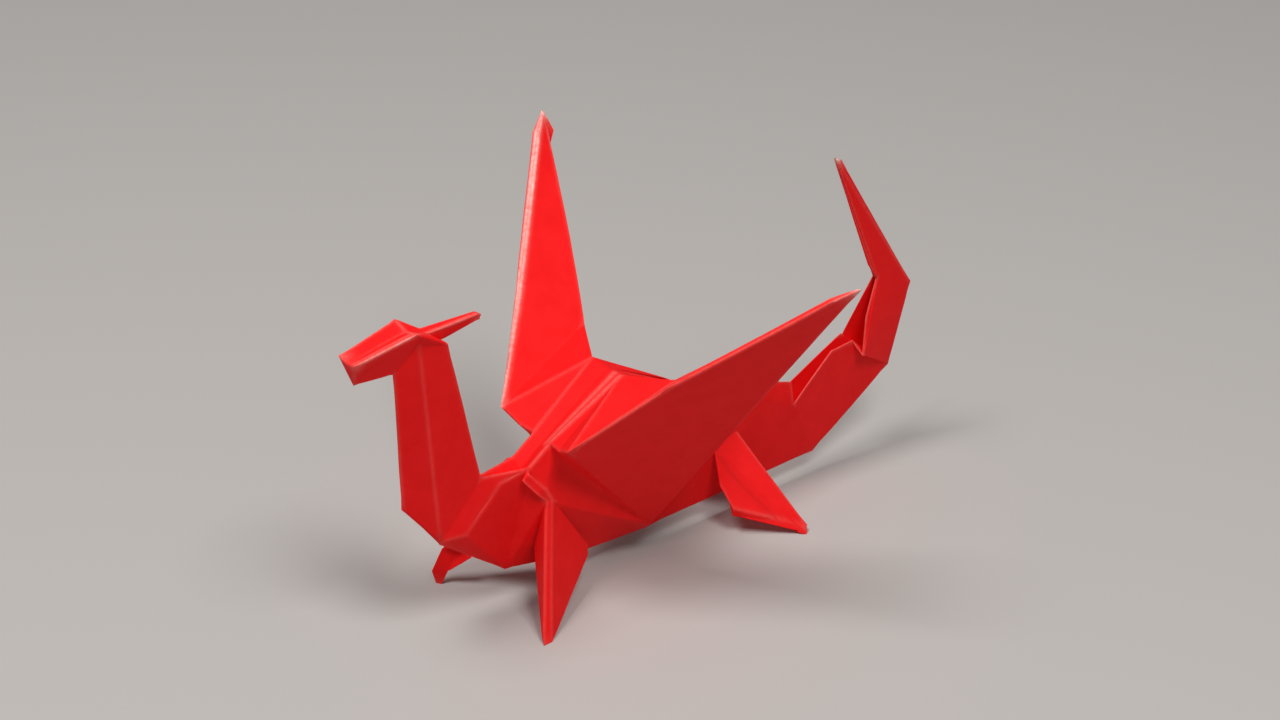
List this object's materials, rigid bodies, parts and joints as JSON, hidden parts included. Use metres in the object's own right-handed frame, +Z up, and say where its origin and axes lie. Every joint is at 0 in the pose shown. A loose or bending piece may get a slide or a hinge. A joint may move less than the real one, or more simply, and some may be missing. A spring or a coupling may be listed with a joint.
{
  "type": "origami dragon",
  "caption": "Folded-paper dragon with raised wings, an upright neck, pointed legs and a crimped, curled tail, standing on its feet.",
  "frame": {"origin": "centre of the bounding box in plan, on the plane that the feet stand on", "axes": "+X to the dragon's left, +Y along the body from the nose to the tail, +Z up"},
  "size_m": [0.0776, 0.1136, 0.0613],
  "materials": {
    "paper": "uncoated folding paper, red right through, matt"
  },
  "bodies": {
    "root": {"folded_sheet": "paper"}
  },
  "joints": []
}
